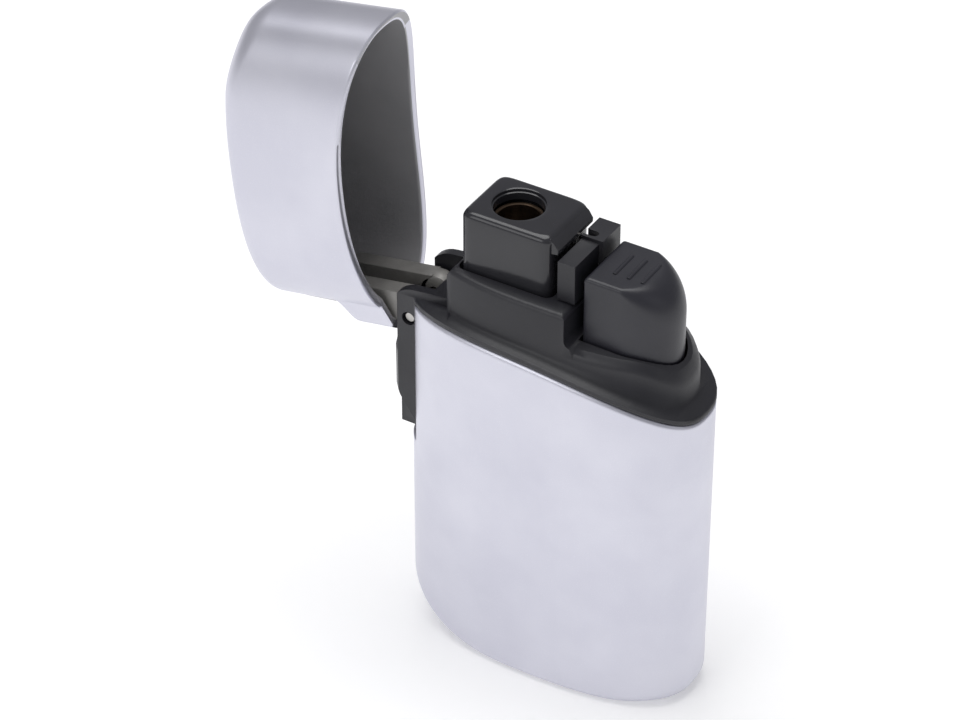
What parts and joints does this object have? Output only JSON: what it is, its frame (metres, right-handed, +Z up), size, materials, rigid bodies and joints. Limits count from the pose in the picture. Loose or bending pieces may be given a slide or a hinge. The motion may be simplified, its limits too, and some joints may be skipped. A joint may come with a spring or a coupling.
{
  "type": "flip-cap jet lighter",
  "caption": "Lens-shaped metal lighter standing with its hinged cap swung open; press button, jet burner behind a hood, refillable tank and a piezo unit inside.",
  "frame": {"origin": "on the flat underside, at the middle of the body's plan", "axes": "+Z up, +X from the hinge end to the button end, Y through the thickness, front face towards -Y"},
  "size_m": [0.058, 0.0166, 0.0772],
  "materials": {
    "satin_silver": "satin silver paint on cast zinc",
    "black_plastic": "fine matt moulding",
    "gloss_black": "glossy",
    "steel": "bright drawn steel",
    "brass": "turned",
    "heat_dark_brass": "heat darkened",
    "tank_plastic": "smoky moulding",
    "white_acetal": "natural acetal",
    "ceramic": "sintered ceramic",
    "rubber": "matt nitrile"
  },
  "bodies": {
    "body": {"body_shell": "satin_silver", "chassis": "black_plastic", "hinge_pin": "steel", "cap_leaf_spring": "steel", "nozzle_hood": "gloss_black", "flame_tube": "heat_dark_brass", "mixer_tube": "brass", "flame_plate": "steel", "gas_jet": "brass", "divider_post": "black_plastic", "electrode_wire": "steel", "piezo_sleeve": "white_acetal", "piezo_crystal": "ceramic", "piezo_anvil": "steel", "piezo_hammer": "steel", "piezo_impact_spring": "steel", "piezo_return_spring": "steel", "piezo_contact": "brass", "ignition_lead": "rubber", "fuel_tank": "tank_plastic", "tank_lid": "tank_plastic", "tank_gasket": "rubber", "main_valve_body": "brass", "main_valve_seal": "rubber", "main_valve_spring": "steel", "gas_hose": "rubber", "lever_pin": "steel", "fill_valve_body": "brass", "fill_valve_seal": "rubber", "fill_valve_spring": "steel", "adjuster_seal": "rubber", "dip_tube": "brass"},
    "cap": {"cap_shell": "satin_silver"},
    "button": {"button": "black_plastic", "piezo_plunger": "white_acetal"},
    "lever": {"gas_lever": "white_acetal"},
    "valve_stem": {"main_valve_stem": "brass"},
    "fill_stem": {"fill_valve_stem": "steel"},
    "adjuster": {"flame_adjuster": "brass"}
  },
  "joints": [
    {"name": "cap_hinge", "type": "hinge", "parent": "body", "child": "cap", "pos_m": [-0.0172, 0, 0.0421], "axis": [0, 1, 0], "range_deg": [0, 100]},
    {"name": "button_press", "type": "slide", "parent": "body", "child": "button", "axis": [0, 0, -1], "range_m": [0, 0.0026], "stiffness_N_per_m": 1500, "springref_m": -0.0006, "deforming": ["piezo_return_spring", "piezo_impact_spring"]},
    {"name": "gas_lever_tilt", "type": "hinge", "parent": "body", "child": "lever", "pos_m": [0.0014, 0, 0.0357], "axis": [0, 1, 0], "range_deg": [0, 7.2]},
    {"name": "valve_stem_lift", "type": "slide", "parent": "body", "child": "valve_stem", "axis": [0, 0, 1], "range_m": [0, 0.00085], "deforming": ["main_valve_spring"]},
    {"name": "fill_stem_push", "type": "slide", "parent": "body", "child": "fill_stem", "axis": [0, 0, 1], "range_m": [0, 0.001], "stiffness_N_per_m": 300, "springref_m": -0.0005, "deforming": ["fill_valve_spring"]},
    {"name": "flame_adjuster_turn", "type": "hinge", "parent": "body", "child": "adjuster", "pos_m": [-0.0052, 0, 0.0005], "axis": [0, 0, 1], "range_deg": [-150, 150]}
  ],
  "couplings": [
    {"joint": "gas_lever_tilt", "follows": "button_press", "rad_per_m": 46.99},
    {"joint": "valve_stem_lift", "follows": "button_press", "ratio": 0.3102}
  ]
}
